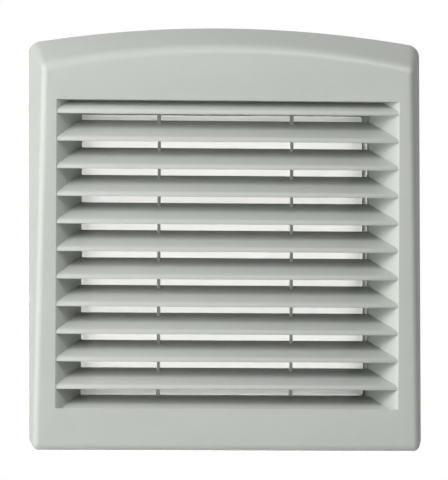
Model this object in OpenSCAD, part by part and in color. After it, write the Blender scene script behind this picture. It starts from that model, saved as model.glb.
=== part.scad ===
// Ventilation grille for the wall of an equipment cabinet: a hinged louvred
// cover, a clip-in mounting frame with a filter tray, and a filter mat.
// The origin is the centre of the panel cut-out on the panel's front face.
// X is to the right, Z is up, and the grille faces -Y.

/* [Panel] */
// Distance of the cut-out's edge outside the louvred window, on each side
cutout_past = 3; // [2:0.1:6]
// Gap between the collar and the edge of the cut-out
collar_gap = 1; // [0.5:0.1:1.4]

/* [Cover shell] */
// Lap of the cover over the panel, at the sides and the bottom
lap_side = 12.5; // [12:0.5:18]
// Lap of the cover over the panel, at the top of the arch
lap_top = 31.5; // [28:0.5:45]
// Radius of the arched top edge
arch_r = 740; // [500:5:1200]
// Radius of the outline's corners
corner_r = 8; // [6:0.5:12]
// Wall of the cover moulding
cover_wall = 2.2; // [1.8:0.1:2.4]
// Distance of the sloping front face from the panel, at the bottom edge
face_low = 10.6; // [10:0.1:14]
// Slope of the front face, in degrees from the panel
face_tilt = 3.5; // [2:0.1:4.5]
// Draft of the cover's sides, in degrees
side_draft = 17; // [8:1:20]
// Draft of the cover's top, in degrees
top_draft = 32; // [15:1:35]
// Radius of the fold between the front face and the slopes
fold_r = 4.7; // [3.6:0.1:6]
// Gap between the cover's rim and the panel
rim_gap = 1.5; // [1.5:0.1:2]
// Straight band at the rim, before the draft begins
rim_band = 1.5; // [0.8:0.1:2]

/* [Louvres] */
// Width of the louvred window in the front face
window_w = 217; // [190:1:250]
// Distance of the window's top edge below the top of the cut-out
window_under = 16; // [12:0.5:24]
// Distance of the window's bottom edge above the bottom of the cut-out
window_over = 13.5; // [12:0.5:24]
// Distance from one louvre to the next
louvre_pitch = 17.25; // [16:0.05:22]
// Distance of the first louvre's lip below the window's top edge
first_drop = 8.8; // [8:0.1:10]
// Height of one louvre, from the bottom of its lip to its rear edge
louvre_rise = 14.8; // [12:0.1:16]
// Depth of the louvres behind the front face
louvre_depth = 17.6; // [14:0.1:18]
// Thickness of a louvre
louvre_t = 2; // [1.4:0.1:2.4]
// Height of the upright lip at a louvre's front
lip_h = 2.6; // [2:0.1:4]
// Radius of the nose between the lip and the slope
nose_r = 3.6; // [2:0.1:5]
// How far the lips stand back from the front face
lip_recess = 0.4; // [0:0.1:1]
// Narrowing of the window on each side, from front to rear
funnel_in = 17; // [14:0.5:18]
// Wall of the window's slanted sides, measured along X
funnel_wall = 2.6; // [2:0.1:3]
// Distance of each tie rib inside the window's side edge
tie_in = 66.5; // [50:0.5:80]
// Thickness of the tie ribs
tie_t = 2; // [1.4:0.1:3]
// How far the tie ribs reach forward from the louvres' rear edges
tie_len = 3.6; // [2.4:0.2:8]

/* [Mounting frame] */
// Thickness of the flange
flange_t = 2; // [1.6:0.1:2]
// Gap between the flange and the cover's skirt
flange_gap = 0.7; // [0.5:0.1:1]
// Wall of the collar
collar_wall = 2; // [1.6:0.1:2.2]
// Outer corner radius of the collar
collar_r = 4; // [2.5:0.5:8]
// Depth of the frame behind the panel
frame_depth = 26; // [26:0.5:34]
// Thickness of the rear grid
grid_t = 2.3; // [1.6:0.1:3]
// Width of the bars of the rear grid
grid_bar = 2.2; // [1.6:0.1:3]
// Largest pitch of the rear grid's upright bars
grid_pitch = 9; // [7:0.5:14]
// Largest pitch of the rear grid's cross bars
cross_pitch = 60; // [40:1:90]
// Width of the ledge that the mat rests on
grid_ledge = 5; // [3:0.5:8]
// Wall of the filter tray
tray_wall = 1.6; // [1.2:0.1:2]
// Step inwards from the louvres' rear opening to the tray
tray_step = 1; // [0:0.1:1.5]
// Gap between the louvres' rear edges and the tray's walls
tray_gap = 0.8; // [0.5:0.1:2]
// How far the nibs that keep the mat in stand out from the tray's walls
nib_out = 1.4; // [1:0.1:2.5]
// Length of a nib
nib_len = 14; // [6:1:20]
// Distance of the corner screw holes outside the edge of the cut-out
screw_out = 3.5; // [3:0.1:4]
// Radius of the corner screw holes
screw_r = 1.75; // [1.2:0.05:1.9]

/* [Filter and seal] */
// Thickness of the filter mat
mat_t = 12; // [8:0.5:12]
// Gap round the filter mat
mat_gap = 0.6; // [0.4:0.1:1.5]
// Gap between the mat and the nibs
nib_gap = 0.3; // [0.2:0.1:1]
// Thickness of the foam gasket
gasket_t = 1.5; // [1:0.1:1.5]
// Width of the foam gasket
gasket_w = 6; // [5:0.1:6.2]
// Distance of the gasket from the edge of the cut-out
gasket_at = 0.8; // [0.5:0.1:1]
// Gap round the screws in the gasket
gasket_hole_gap = 0.25; // [0.1:0.05:0.4]

/* [Cover hinge] */
// Distance of each hinge inside the window's side edge
hinge_in = 28.5; // [20:0.5:45]
// Length of the frame's hinge eye
eye_len = 8; // [5:0.5:12]
// Length of each of the cover's hinge lugs
lug_len = 5; // [3:0.5:8]
// Gap between an eye and a lug
hinge_gap = 0.3; // [0.2:0.1:0.6]
// Height of the hinge axis above the cover's bottom edge
hinge_up = 2.6; // [2.5:0.1:2.8]
// Distance of the hinge axis from the panel
hinge_out = 3.1; // [3.1:0.1:3.3]
// Radius of the hinge pins
hinge_pin_r = 0.8; // [0.6:0.05:0.9]
// Radial clearance of a hinge pin in the frame's eye
hinge_play = 0.06; // [0.02:0.01:0.1]
// Wall round the hinge pins
hinge_wall = 0.9; // [0.7:0.1:1]

/* [Cover hooks] */
// Distance of each snap hook inside the window's side edge
hook_in = 48.5; // [35:0.5:65]
// Width of a snap hook
hook_w = 12; // [8:1:16]
// Thickness of a snap hook's arm
hook_t = 1.6; // [1.2:0.1:1.8]
// How far a hook's nose stands up from its arm
hook_nose = 1.6; // [1:0.1:1.8]
// Clearance between a hook's nose and its catch
hook_gap = 0.4; // [0.3:0.1:0.6]
// Depth of the catch behind the panel's front face
catch_back = 2.3; // [1.5:0.1:3]
// Length of the catch
catch_len = 3.5; // [2:0.1:4]
// Height of the catch
catch_h = 1.5; // [1:0.1:1.8]

/* [Panel clips] */
// Distance of each clip inside the top or bottom edge of the cut-out
clip_in = 51.5; // [40:0.5:60]
// Width of a clip's nose
nose_w = 12; // [8:1:16]
// Width of a clip's body
body_w = 16; // [14:1:22]
// How far a clip reaches past the edge of the cut-out
clip_reach = 3.8; // [2.5:0.1:4]
// Clearance round a clip in its window
clip_gap = 0.5; // [0.3:0.1:0.8]
// Distance of the clip's pivot inside the collar's wall
pivot_in = 3.3; // [3.3:0.1:3.8]
// Distance of the clip's pivot behind the panel's front face
pivot_back = 17.5; // [16.5:0.1:17.6]
// Radius of the clip's barrel
barrel_r = 2.9; // [2.6:0.1:2.9]
// Radius of the pivot pins
pivot_r = 1.5; // [1.2:0.1:1.6]
// Radial clearance of a clip on its pivot pin
pivot_play = 0.05; // [0.02:0.01:0.1]
// Thickness of the webs that hold the pivot pins
web_t = 2; // [1.5:0.1:2.5]
// Thickness of the clip's arm
arm_t = 4; // [3.4:0.1:4.4]
// Front end of the clip, behind the panel's front face
nose_front = 1; // [0.8:0.1:1.1]
// Rise of each of the clip's locking steps
step_rise = 1.1; // [1.1:0.1:1.2]
// Number of locking steps
step_count = 3; // [2:1:4]
// Flat at the tip of the clip's nose
tip_flat = 1; // [0.5:0.1:1.5]
// Gap between the louvres' side walls and the springs of the lower clips
spring_clear = 1.33; // [1:0.01:2]
// Radius of the spring, to the middle of its wire
spring_r = 2.2; // [1.8:0.1:2.6]
// Radius of the spring's wire
wire_r = 0.35; // [0.25:0.05:0.45]
// Turns of the spring
spring_turns = 5; // [3:0.5:7]
// Length of the studs that centre the spring
stud_len = 1.2; // [0.8:0.1:1.4]
// Clearance of a stud inside the spring
stud_gap = 0.4; // [0.3:0.1:0.6]

/* [Hidden] */
$fn = 64;

abs_grey = [0.78, 0.8, 0.78];
clip_grey = [0.35, 0.36, 0.36];
steel = [0.7, 0.71, 0.72];
fleece_white = [0.95, 0.95, 0.93];
foam_black = [0.1, 0.1, 0.1];

// A length that overshoots every face it is cut against
over = 1;
// A length beyond the whole grille
far = 400;
// Depth by which joined walls run into each other
bite = 0.4;

// Cut-out and window, each by its half width or its distance from the origin
cut_half = window_w / 2 + cutout_past;
window_top = cut_half - window_under;
window_bottom = cut_half - window_over;

// Cover outline
half_w = cut_half + lap_side;
bottom_z = -half_w;
apex_z = cut_half + lap_top;
arch_z = apex_z - arch_r;
rim_y = -rim_gap;
band_y = rim_y - rim_band;
slope = tan(face_tilt);
face_mid = face_low + slope * half_w;
arch_steps = 12;
hull_fn = 32;

// Louvre stack, from the first lip down to the sill behind the window's bottom edge
first_lip = window_top - first_drop;
sill_index = ceil((first_lip + window_bottom) / louvre_pitch);
rear_half_w = window_w / 2 - funnel_in;
tie_x = window_w / 2 - tie_in;
// Walls behind the window's top and bottom edges, and the depth of the top one
return_wall = 1.8;
return_depth = 8;
frame_low = -window_bottom - return_wall;
frame_high = window_top + return_wall;
// Rear opening behind the louvres, which a roof closes at the top
roof_over_lip = 3.6;
opening_top = first_lip + roof_over_lip;
opening_bottom = lip_z(sill_index) + louvre_rise - bite;

// Filter tray, the mat in it, and the grid behind it
tray_half_w = rear_half_w - tray_step;
grid_y = frame_depth - grid_t;
mat_back = grid_y - 0.2;
mat_front = mat_back - mat_t;
nib_depth = 2.2;

// Collar and flange
collar_out = cut_half - collar_gap;
collar_in = collar_out - collar_wall;
screw_at = cut_half + screw_out;
flange_back = -gasket_t;
flange_front = flange_back - flange_t;
flange_inset = cover_wall + flange_gap;
rib_t = 1.6;
flange_rib_step = 56;
flange_rib_out = 2;

// Hinge
hinge_x = window_w / 2 - hinge_in;
hinge_z = bottom_z + hinge_up;
hinge_y = -hinge_out;
eye_r = hinge_pin_r + hinge_wall;
lug_r = eye_r + 0.2;
pocket_r = eye_r + 0.4;
// Set-back of the eyes' necks, which lets the cover's rim swing past
neck_back = flange_back - 0.6;
hinge_span = eye_len + 2 * hinge_gap + 2 * lug_len;
flange_bottom = hinge_z + pocket_r + 0.4;
pin_end_gap = 0.2;

// Hooks
hook_x = window_w / 2 - hook_in;
catch_under = collar_in - catch_h;
catch_side = 1;
nose_top = catch_under - hook_gap;
arm_top = nose_top - hook_nose;
hook_back = catch_back + 0.3;
nose_flat = 0.8;
nose_len = 3.4;
gusset_len = 12;
gusset_h = 9;
rib_beside_hook = 8;

// Clips
clip_z = cut_half - clip_in;
pivot_x = collar_in - pivot_in;
arm_out = collar_in - 0.2;
arm_in = arm_out - arm_t;
tip_x = cut_half + clip_reach;
spring_root = tray_half_w + tray_wall;
spring_len = arm_in - spring_root;
spring_end_gap = 0.05;
// The springs' place behind the panel, past the louvres' rear edges at the lower clips
spring_back = face_y(-clip_z) + louvre_depth / cos(face_tilt) + spring_clear + spring_r + wire_r;
stud_r = spring_r - wire_r - stud_gap;
web_at = body_w / 2 + 0.4 + web_t / 2;
web_front = pivot_back - barrel_r - 2;
pin_len = 2 * web_at + web_t;

// Height of the bottom of louvre k's lip
function lip_z(k) = first_lip - k * louvre_pitch;
// The front face's y at height z
function face_y(z) = -(face_mid + slope * z);
// Height of a circular arch of radius r about the arch's centre, at x
function arch_at(r, x) = arch_z + sqrt(r * r - x * x);
// Depth of a fold centre in front of the rim band, for a centre at height z
function fold_depth(z) = max(0, band_y - face_y(z) - fold_r / cos(face_tilt));
// Inset of a fold centre from the drafted side and top walls
function side_inset(z) = fold_depth(z) * tan(side_draft) + fold_r / cos(side_draft);
function top_inset(z) =
    (fold_depth(z) * tan(top_draft) + fold_r / cos(top_draft)) / (1 + slope * tan(top_draft));
function fold_centre(x, z) = [x, face_y(z) + fold_r / cos(face_tilt), z];

// Places things in the front face's own frame: y is the depth behind the face
module in_face() {
    translate([0, -face_mid, 0]) rotate([face_tilt, 0, 0]) children();
}

// Extrudes a profile drawn in depth and height along X
module along_x(x0, x1) {
    translate([x0, 0, 0]) rotate([90, 0, 90]) linear_extrude(x1 - x0) children();
}

// Extrudes a profile drawn in X and Z from one depth to another
module plate(y0, y1) {
    translate([0, y1, 0]) rotate([90, 0, 0]) linear_extrude(y1 - y0) children();
}

// A box from its two corners
module block(a, b) {
    translate(a) cube(b - a);
}

// A flat rectangle from its two corners
module pane(a, b) {
    translate(a) square(b - a);
}

module both_sides() {
    children();
    mirror([1, 0, 0]) children();
}

// The cover's outer form, or with a shrink its inner one: a hull of the rim's
// corner discs and of balls along the fold
module wedge(shrink) {
    rear_y = shrink > 0 ? rim_y + over : rim_y;
    centre_x = half_w - corner_r;
    top_corner_z = arch_at(arch_r - corner_r, centre_x);
    fold_z = top_corner_z + corner_r - top_inset(top_corner_z);
    fold_x = half_w - side_inset(fold_z);
    low_z = bottom_z + fold_r;
    low_x = half_w - side_inset(low_z);
    hull() {
        for (i = [-arch_steps : arch_steps]) {
            rim_x = centre_x * i / arch_steps;
            translate([rim_x, band_y, arch_at(arch_r - corner_r, rim_x)])
                rotate([-90, 0, 0]) cylinder(r = corner_r - shrink, h = rear_y - band_y, $fn = hull_fn);
            x = fold_x * i / arch_steps;
            z = arch_at(arch_r - top_inset(arch_at(arch_r, x) - fold_r), x);
            translate(fold_centre(x, z)) sphere(r = fold_r - shrink, $fn = hull_fn);
        }
        for (s = [-1, 1]) {
            translate([s * centre_x, band_y, bottom_z + corner_r])
                rotate([-90, 0, 0]) cylinder(r = corner_r - shrink, h = rear_y - band_y, $fn = hull_fn);
            translate(fold_centre(s * low_x, low_z)) sphere(r = fold_r - shrink, $fn = hull_fn);
        }
    }
}

// The window's tapered space between two depths and two heights
module funnel(grow, z0, z1, v0, v1) {
    taper = funnel_in / louvre_depth;
    x0 = window_w / 2 + grow - taper * v0;
    x1 = window_w / 2 + grow - taper * v1;
    intersection() {
        in_face() translate([0, 0, -far / 2]) linear_extrude(far)
            polygon([[-x0, v0], [x0, v0], [x1, v1], [-x1, v1]]);
        block([-far, -far, z0], [far, far, z1]);
    }
}

// Section of a louvre, from the bottom of its lip at the origin: an upright
// lip, a round nose, and a slope that climbs to the rear
module louvre_profile() {
    run = louvre_depth - lip_recess - slope * louvre_rise;
    tilt = atan2(louvre_rise - lip_h, run);
    bend = nose_r * tan((90 - tilt) / 2);
    arc = [for (a = [0 : 10 : 90 - tilt]) [nose_r - nose_r * cos(a), lip_h - bend + nose_r * sin(a)]];
    drop = louvre_t / cos(tilt);
    heel = louvre_t * 1.1;
    foot = louvre_t * 0.8;
    polygon(concat(
        [[0, 0]],
        arc,
        [[run + over, louvre_rise + over * tan(tilt)], [run + over, louvre_rise - drop + over * tan(tilt)]],
        [[heel, lip_h - drop + heel * tan(tilt)], [foot, 0]]
    ));
}

module louvre(k) {
    translate([0, face_y(lip_z(k)) + lip_recess, lip_z(k)])
        along_x(-window_w / 2 - funnel_wall, window_w / 2 + funnel_wall) louvre_profile();
}

// All louvres, the half-hidden top one and the sill, cut to the window's
// taper, and a roof over the rear opening
module louvres() {
    ends = funnel_wall - bite;
    intersection() {
        union() {
            for (k = [0 : sill_index]) louvre(k);
        }
        funnel(ends, frame_low + bite, frame_high - bite, 0, louvre_depth);
    }
    funnel(ends, opening_top, opening_top + return_wall, return_depth / 2, louvre_depth);
}

// Solid block behind the face that the window and its walls are cut from
module window_block() {
    funnel(funnel_wall, frame_low, frame_high, bite, louvre_depth);
}

// The window, and the room behind its short top and bottom returns
module window_cuts() {
    behind = louvre_depth + over;
    funnel(0, -window_bottom, window_top, -over, behind);
    funnel(-bite, window_top - bite, frame_high + over, return_depth, behind);
    funnel(-bite, frame_low - over, bite - window_bottom, cover_wall + lip_recess, behind);
}

// Two upright ribs that tie the louvres together
module tie_ribs() {
    intersection() {
        both_sides() block([tie_x - tie_t / 2, -far, opening_bottom - bite],
                           [tie_x + tie_t / 2, far, opening_top + bite]);
        in_face() block([-far, louvre_depth - tie_len, -far], [far, louvre_depth, far]);
    }
}

// Upright ribs that stiffen the deep top of the cover
module top_ribs() {
    beside_hook = hook_x - hook_w / 2 - rib_beside_hook;
    intersection() {
        wedge(cover_wall - bite);
        for (x = [-rear_half_w, -beside_hook, 0, beside_hook, rear_half_w])
            block([x - rib_t / 2, -far, window_top + bite],
                  [x + rib_t / 2, flange_front - flange_rib_out - 0.5, far]);
    }
}

// Snap hooks at the top, each an arm with two gussets and a ramped nose
module hooks() {
    root_y = face_y(arm_top) + bite;
    both_sides() {
        along_x(hook_x - hook_w / 2, hook_x + hook_w / 2) polygon([
            [root_y, arm_top - hook_t],
            [root_y, arm_top],
            [hook_back, arm_top],
            [hook_back, nose_top],
            [hook_back + nose_flat, nose_top],
            [hook_back + nose_len, arm_top],
            [hook_back + nose_len, arm_top - hook_t]
        ]);
        for (x = [hook_x - hook_w / 2, hook_x + hook_w / 2 - hook_t])
            along_x(x, x + hook_t) polygon([
                [root_y, arm_top], [root_y, arm_top + gusset_h], [root_y + gusset_len, arm_top]
            ]);
    }
}

module at_hinge(x) {
    translate([x, hinge_y, hinge_z]) rotate([0, 90, 0]) children();
}

// The cover's hinge lugs, two to a hinge
module lugs() {
    for (x = [-hinge_x, hinge_x], end = [-hinge_span / 2, hinge_span / 2 - lug_len])
        at_hinge(x + end) cylinder(r = lug_r, h = lug_len);
}

module front_cover() {
    color(abs_grey) difference() {
        union() {
            difference() {
                union() {
                    difference() {
                        intersection() {
                            wedge(0);
                            block([-far, -far, -far], [far, rim_y, far]);
                        }
                        wedge(cover_wall);
                    }
                    window_block();
                }
                window_cuts();
            }
            louvres();
            tie_ribs();
            top_ribs();
            hooks();
            lugs();
        }
        for (x = [-hinge_x, hinge_x]) {
            at_hinge(x - eye_len / 2 - hinge_gap) cylinder(r = pocket_r, h = eye_len + 2 * hinge_gap);
            at_hinge(x - hinge_span / 2) cylinder(r = hinge_pin_r, h = hinge_span);
        }
    }
}

// Flat outline of the cover, drawn in by an inset: straight sides, an arched
// top and four round corners
module outline(inset, low_z) {
    r = corner_r - inset;
    side = half_w - corner_r;
    top_z = arch_at(arch_r - corner_r, side);
    touch = side * (arch_r - inset) / (arch_r - corner_r);
    intersection() {
        translate([0, arch_z]) circle(r = arch_r - inset, $fn = 360);
        pane([-touch, low_z], [touch, far]);
    }
    pane([-half_w + inset, low_z + r], [half_w - inset, top_z]);
    for (s = [-1, 1], z = [low_z + r, top_z]) translate([s * side, z]) circle(r = r);
}

// A flat square with round corners, by its half width
module round_square(half, r) {
    pane([-half, r - half], [half, half - r]);
    pane([r - half, -half], [half - r, half]);
    for (x = [-1, 1], z = [-1, 1]) translate([x * (half - r), z * (half - r)]) circle(r = r);
}

module screw_holes(r) {
    for (x = [-1, 1], z = [-1, 1])
        translate([x * screw_at, -far / 2, z * screw_at]) rotate([-90, 0, 0]) cylinder(r = r, h = far);
}

// Rear grid: a plate with upright slots between a few cross bars
module rear_grid() {
    x1 = tray_half_w - grid_ledge;
    z0 = opening_bottom + grid_ledge;
    z1 = opening_top - grid_ledge;
    nx = ceil(2 * x1 / grid_pitch);
    nz = ceil((z1 - z0) / cross_pitch);
    step_x = 2 * x1 / nx;
    step_z = (z1 - z0) / nz;
    plate(grid_y, frame_depth) difference() {
        round_square(collar_out - bite, collar_r - bite);
        for (i = [0 : nx - 1], j = [0 : nz - 1])
            pane([i * step_x - x1 + (i > 0 ? grid_bar / 2 : 0),
                  z0 + j * step_z + (j > 0 ? grid_bar / 2 : 0)],
                 [(i + 1) * step_x - x1 - (i < nx - 1 ? grid_bar / 2 : 0),
                  z0 + (j + 1) * step_z - (j < nz - 1 ? grid_bar / 2 : 0)]);
    }
}

// Tray walls, from the grid forward to the louvres' slanting rear edges
module tray_walls() {
    intersection() {
        plate(-far / 4, grid_y + bite) difference() {
            pane([-tray_half_w - tray_wall, opening_bottom - tray_wall],
                 [tray_half_w + tray_wall, opening_top + tray_wall]);
            pane([-tray_half_w, opening_bottom], [tray_half_w, opening_top]);
        }
        in_face() block([-far, louvre_depth + tray_gap, -far], [far, far, far]);
    }
}

// Ramped nibs on the tray's side walls that keep the mat in
module tray_nibs() {
    back = mat_front - nib_gap;
    for (z = [-clip_z, 0, clip_z])
        translate([0, 0, z - nib_len / 2]) linear_extrude(nib_len) polygon([
            [tray_half_w + bite, back - nib_depth],
            [tray_half_w - nib_out, back - nib_depth / 2],
            [tray_half_w - nib_out, back],
            [tray_half_w + bite, back]
        ]);
}

// Webs between the tray and the collar that carry one clip's pivot pin, and
// the stud that centres its spring
module clip_seat() {
    for (z = [-web_at, web_at])
        block([tray_half_w + tray_wall - bite, web_front, z - web_t / 2],
              [collar_in + bite, grid_y + bite, z + web_t / 2]);
    translate([spring_root - bite, spring_back, 0])
        rotate([0, 90, 0]) cylinder(r = stud_r, h = stud_len + bite);
}

module clip_window() {
    half_z = nose_w / 2 + clip_gap;
    block([collar_in - over, -0.1, -half_z], [collar_out + over, grid_y - 1.4, half_z]);
    translate([pivot_x, pivot_back, -pin_len]) cylinder(r = pivot_r, h = 2 * pin_len);
}

// Places things at each clip on the right, and mirrored on the left
module at_clips() {
    both_sides() for (z = [-clip_z, clip_z]) translate([0, 0, z]) children();
}

// Ribs on the flange's broad top, between the collar and the arch
module flange_ribs() {
    for (i = [-1.5 : 1.5])
        block([i * flange_rib_step - rib_t / 2, flange_front - flange_rib_out, collar_out],
              [i * flange_rib_step + rib_t / 2, flange_front + bite,
               arch_at(arch_r, i * flange_rib_step) - flange_inset - 4 * flange_rib_out]);
}

module hinge_eyes() {
    for (x = [-hinge_x, hinge_x]) {
        at_hinge(x - eye_len / 2) cylinder(r = eye_r, h = eye_len);
        block([x - eye_len / 2, flange_front, hinge_z], [x + eye_len / 2, neck_back, flange_bottom + bite]);
    }
}

module mounting_frame() {
    color(abs_grey) difference() {
        union() {
            plate(flange_front, flange_back) difference() {
                outline(flange_inset, flange_bottom);
                round_square(collar_in, collar_r - collar_wall);
            }
            plate(flange_front, frame_depth) difference() {
                round_square(collar_out, collar_r);
                round_square(collar_in, collar_r - collar_wall);
            }
            rear_grid();
            tray_walls();
            both_sides() tray_nibs();
            at_clips() clip_seat();
            both_sides() block([hook_x - hook_w / 2 - catch_side, catch_back - catch_len, catch_under],
                               [hook_x + hook_w / 2 + catch_side, catch_back, collar_in + bite]);
            flange_ribs();
            hinge_eyes();
        }
        at_clips() clip_window();
        screw_holes(screw_r);
        for (x = [-hinge_x, hinge_x])
            at_hinge(x - eye_len / 2 - over) cylinder(r = hinge_pin_r + hinge_play, h = eye_len + 2 * over);
    }
}

module filter_mat() {
    color(fleece_white) block([-tray_half_w + mat_gap, mat_front, opening_bottom + mat_gap],
                              [tray_half_w - mat_gap, mat_back, opening_top - mat_gap]);
}

module panel_gasket() {
    inner = cut_half + gasket_at;
    color(foam_black) difference() {
        plate(flange_back, 0) difference() {
            round_square(inner + gasket_w, collar_r);
            round_square(inner, collar_r - collar_wall);
        }
        screw_holes(screw_r + gasket_hole_gap);
    }
}

module hinge_pin(x) {
    color(steel) at_hinge(x - hinge_span / 2 + pin_end_gap)
        cylinder(r = hinge_pin_r, h = hinge_span - 2 * pin_end_gap);
}

// One clip on the right side, seen from above: a broad body that bears on the
// collar from inside, and a narrower nose with locking steps and a long ramp
module clip() {
    root_x = arm_in + 1.5;
    ramp_end = pivot_back - 1;
    step_x = (tip_x - arm_out) / step_count;
    steps = [for (i = [0 : step_count - 1], e = [0, 1])
        [arm_out + (i + e) * step_x, nose_front + i * step_rise]];
    tip_y = nose_front + (step_count - 1) * step_rise;
    color(clip_grey) difference() {
        union() {
            translate([0, 0, -nose_w / 2]) linear_extrude(nose_w) polygon(concat(
                [[root_x, nose_front]],
                steps,
                [[tip_x, tip_y + tip_flat], [arm_out - 0.3, ramp_end], [root_x, ramp_end]]
            ));
            translate([0, 0, -body_w / 2]) linear_extrude(body_w) polygon([
                [arm_in, nose_front],
                [arm_out, nose_front],
                [arm_out, pivot_back - barrel_r],
                [pivot_x + barrel_r * cos(20), pivot_back + barrel_r * sin(20)],
                [pivot_x - barrel_r * cos(60), pivot_back - barrel_r * sin(60)],
                [arm_in, pivot_back - barrel_r]
            ]);
            translate([pivot_x, pivot_back, -body_w / 2]) cylinder(r = barrel_r, h = body_w);
            translate([arm_in - stud_len, spring_back, 0])
                rotate([0, 90, 0]) cylinder(r = stud_r, h = stud_len + bite);
        }
        translate([pivot_x, pivot_back, -body_w]) cylinder(r = pivot_r + pivot_play, h = 2 * body_w);
    }
}

module clip_pin() {
    color(steel) translate([pivot_x, pivot_back, -pin_len / 2]) cylinder(r = pivot_r, h = pin_len);
}

// A wire swept along a helix between the tray's wall and the clip's arm
module clip_spring() {
    sides = 6;
    per_turn = 14;
    rings = ceil(spring_turns * per_turn);
    travel = spring_len - 2 * (wire_r + spring_end_gap);
    points = [for (i = [0 : rings], j = [0 : sides - 1])
        let (a = 360 * spring_turns * i / rings, b = 360 * j / sides, r = spring_r + wire_r * cos(b))
        [wire_r * sin(b) + travel * i / rings, r * cos(a), r * sin(a)]];
    walls = [for (i = [0 : rings - 1], j = [0 : sides - 1])
        let (k = (j + 1) % sides)
        [i * sides + j, i * sides + k, (i + 1) * sides + k, (i + 1) * sides + j]];
    ends = [[for (j = [sides - 1 : -1 : 0]) j], [for (j = [0 : sides - 1]) rings * sides + j]];
    color(steel) translate([spring_root + wire_r + spring_end_gap, spring_back, 0])
        polyhedron(points, concat(walls, ends));
}

// Moves a right-hand, mid-height clip part to its corner
module corner(x, z) {
    mirror([x < 0 ? 1 : 0, 0, 0]) translate([0, 0, z * clip_z]) children();
}

front_cover();
mounting_frame();
filter_mat();
panel_gasket();
hinge_pin(-hinge_x);  // hinge_pin_left
hinge_pin(hinge_x);  // hinge_pin_right
corner(-1, 1) clip();  // clip_upper_left
corner(1, 1) clip();  // clip_upper_right
corner(-1, -1) clip();  // clip_lower_left
corner(1, -1) clip();  // clip_lower_right
corner(-1, 1) clip_pin();  // clip_pin_upper_left
corner(1, 1) clip_pin();  // clip_pin_upper_right
corner(-1, -1) clip_pin();  // clip_pin_lower_left
corner(1, -1) clip_pin();  // clip_pin_lower_right
corner(-1, 1) clip_spring();  // clip_spring_upper_left
corner(1, 1) clip_spring();  // clip_spring_upper_right
corner(-1, -1) clip_spring();  // clip_spring_lower_left
corner(1, -1) clip_spring();  // clip_spring_lower_right
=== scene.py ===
# %% [markdown]
# # A louvred ventilation grille
# The object is a cabinet grille: a hinged cover with eleven see-through
# louvre gaps, a mounting frame that clips into a square panel cut-out, and a
# white filter mat between them. The exact solids come from the part's own
# CAD frame. Blender adds what those solids lack: soft folds and rounded
# edges on the cover, a fibrous mat, wound springs, and moulded plastic,
# fleece, foam and steel finishes. We load the frame first and keep its size.

# %% Load the frame
from math import acos, atan2, cos, pi, radians, sin, sqrt, tan

import bmesh
import bpy
from mathutils import Matrix, Vector
from mathutils.kdtree import KDTree


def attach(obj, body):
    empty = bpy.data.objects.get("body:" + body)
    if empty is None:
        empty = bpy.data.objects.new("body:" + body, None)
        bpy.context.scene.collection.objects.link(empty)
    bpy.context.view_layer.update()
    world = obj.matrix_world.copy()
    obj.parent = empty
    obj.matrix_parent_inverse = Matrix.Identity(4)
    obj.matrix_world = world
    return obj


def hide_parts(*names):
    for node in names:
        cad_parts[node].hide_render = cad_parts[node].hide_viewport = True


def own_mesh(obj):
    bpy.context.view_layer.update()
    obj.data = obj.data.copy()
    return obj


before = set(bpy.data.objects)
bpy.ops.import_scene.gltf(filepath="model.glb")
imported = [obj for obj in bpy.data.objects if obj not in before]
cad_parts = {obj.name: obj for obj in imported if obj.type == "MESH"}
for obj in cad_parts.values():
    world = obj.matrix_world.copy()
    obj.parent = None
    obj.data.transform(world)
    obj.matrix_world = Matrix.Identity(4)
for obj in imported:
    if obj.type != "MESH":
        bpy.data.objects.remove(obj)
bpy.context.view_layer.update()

# %% [markdown]
# ## Sizes of the real thing
# All lengths below are the part's own, in millimetres, because the grille is
# drawn in millimetres. Blender works in metres, so one factor turns them.
# The cover is a wedge: its face stands 11 mm off the panel at the bottom and
# 27 mm at the top. TINY is how near two places must be to count as one.

# %% Sizes
MM = 0.001
HALF_W, BOTTOM, APEX, ARCH_R, CORNER_R = 124.0, -124.0, 143.0, 740.0, 8.0
ARCH_Z = APEX - ARCH_R
WINDOW_HALF, WINDOW_TOP, WINDOW_BOTTOM = 108.5, 95.5, -98.0
FACE_FOOT, FACE_TILT = 10.6, radians(3.5)
SLOPE = tan(FACE_TILT)
FACE_MID = FACE_FOOT + SLOPE * HALF_W
SIDE_DRAFT, TOP_DRAFT = radians(17), radians(32)
FOLD_R, TOP_FOLD_R, SHOULDER_DROP = 4.7, 9.5, 2.6
WALL, RIM_Y, BAND_Y = 2.2, -1.5, -3.0
DEPTH, NARROWING = 17.6, 17.0
TINY = 0.01
FIRST_LIP, PITCH, RISE, LOUVRES = 86.7, 17.25, 14.8, 12


def face_y(z):
    """The front face's y at height z."""
    return -(FACE_MID + SLOPE * z)


def at_depth(z, depth):
    """The y of a point at height z, a depth behind the face."""
    return face_y(z) + depth / cos(FACE_TILT)


def arch_at(radius, x):
    """Height of a circular arch about the arch's centre."""
    return ARCH_Z + sqrt(radius * radius - x * x)


print("cover", 2 * HALF_W, "x", APEX - BOTTOM, "mm")
print("face at", round(face_y(BOTTOM), 1), "to", round(face_y(APEX), 1))

# %% [markdown]
# ## Working by hand, in code
# Blender's operators act on whatever is selected, and the loaded CAD nodes
# are selected when the script starts. So every piece starts by clearing the
# selection, and faces or edges are then picked by their place.

# %% Helpers for selecting and editing
def clear_selection():
    """Leaves edit mode and selects nothing."""
    if bpy.context.object and bpy.context.object.mode != "OBJECT":
        bpy.ops.object.mode_set(mode="OBJECT")
    bpy.ops.object.select_all(action="DESELECT")


def only(obj):
    """Selects one object alone and makes it active."""
    clear_selection()
    obj.select_set(True)
    bpy.context.view_layer.objects.active = obj


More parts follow.
